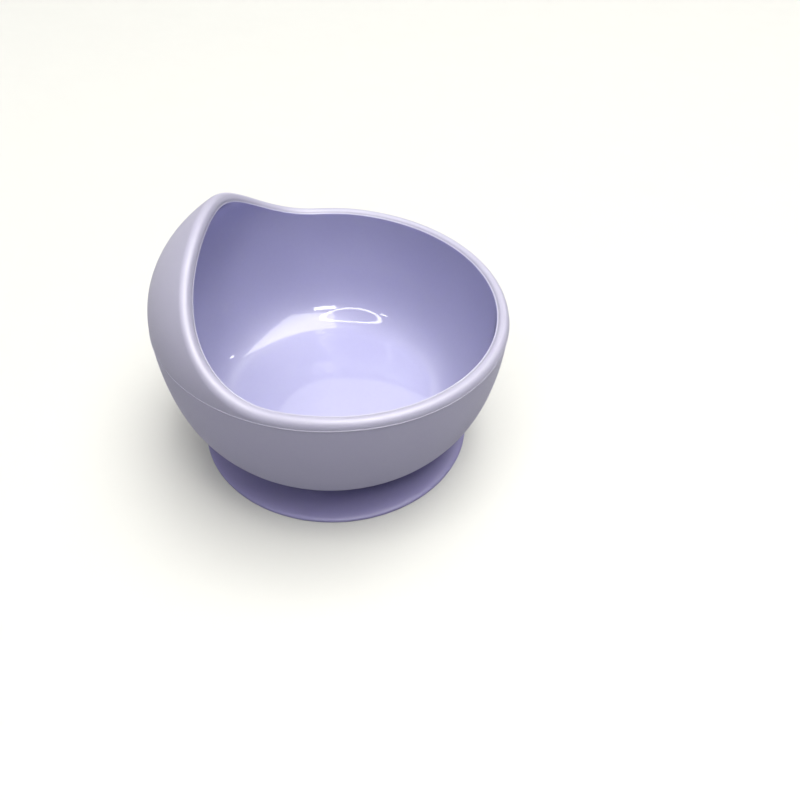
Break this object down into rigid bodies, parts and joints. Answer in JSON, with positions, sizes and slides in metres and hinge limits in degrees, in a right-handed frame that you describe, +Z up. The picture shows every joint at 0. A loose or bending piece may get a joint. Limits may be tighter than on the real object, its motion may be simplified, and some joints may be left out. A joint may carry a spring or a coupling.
{
  "type": "suction bowl",
  "caption": "Child's silicone feeding bowl with a raised scoop wall, bonded to a wide suction cup with a release tab.",
  "frame": {"origin": "centre of the suction cup's sealing ring, on the table", "axes": "+Z up along the axis of the bowl and the cup, -X towards the raised scoop wall, +Y towards the release tab"},
  "size_m": [0.118, 0.118, 0.0841],
  "materials": {
    "lilac_silicone": "soft-touch matt outside, glossy inside",
    "cup_silicone": "satin",
    "silicone_adhesive": "translucent satin"
  },
  "bodies": {
    "cup": {"suction_cup": "cup_silicone"},
    "bowl": {"bowl": "lilac_silicone", "bond_ring": "silicone_adhesive"},
    "tab": {"release_tab": "cup_silicone"}
  },
  "joints": [
    {"name": "bowl_press", "type": "slide", "parent": "cup", "child": "bowl", "axis": [0, 0, 1], "range_m": [-0.003, 0], "stiffness_N_per_m": 4000, "springref_m": 0.001, "deforming": ["suction_cup"]},
    {"name": "tab_lift", "type": "hinge", "parent": "cup", "child": "tab", "pos_m": [0, 0.0495, 0.0014], "axis": [1, 0, 0], "range_deg": [0, 60], "stiffness_Nm_per_rad": 0.004, "springref_deg": -2.86}
  ]
}
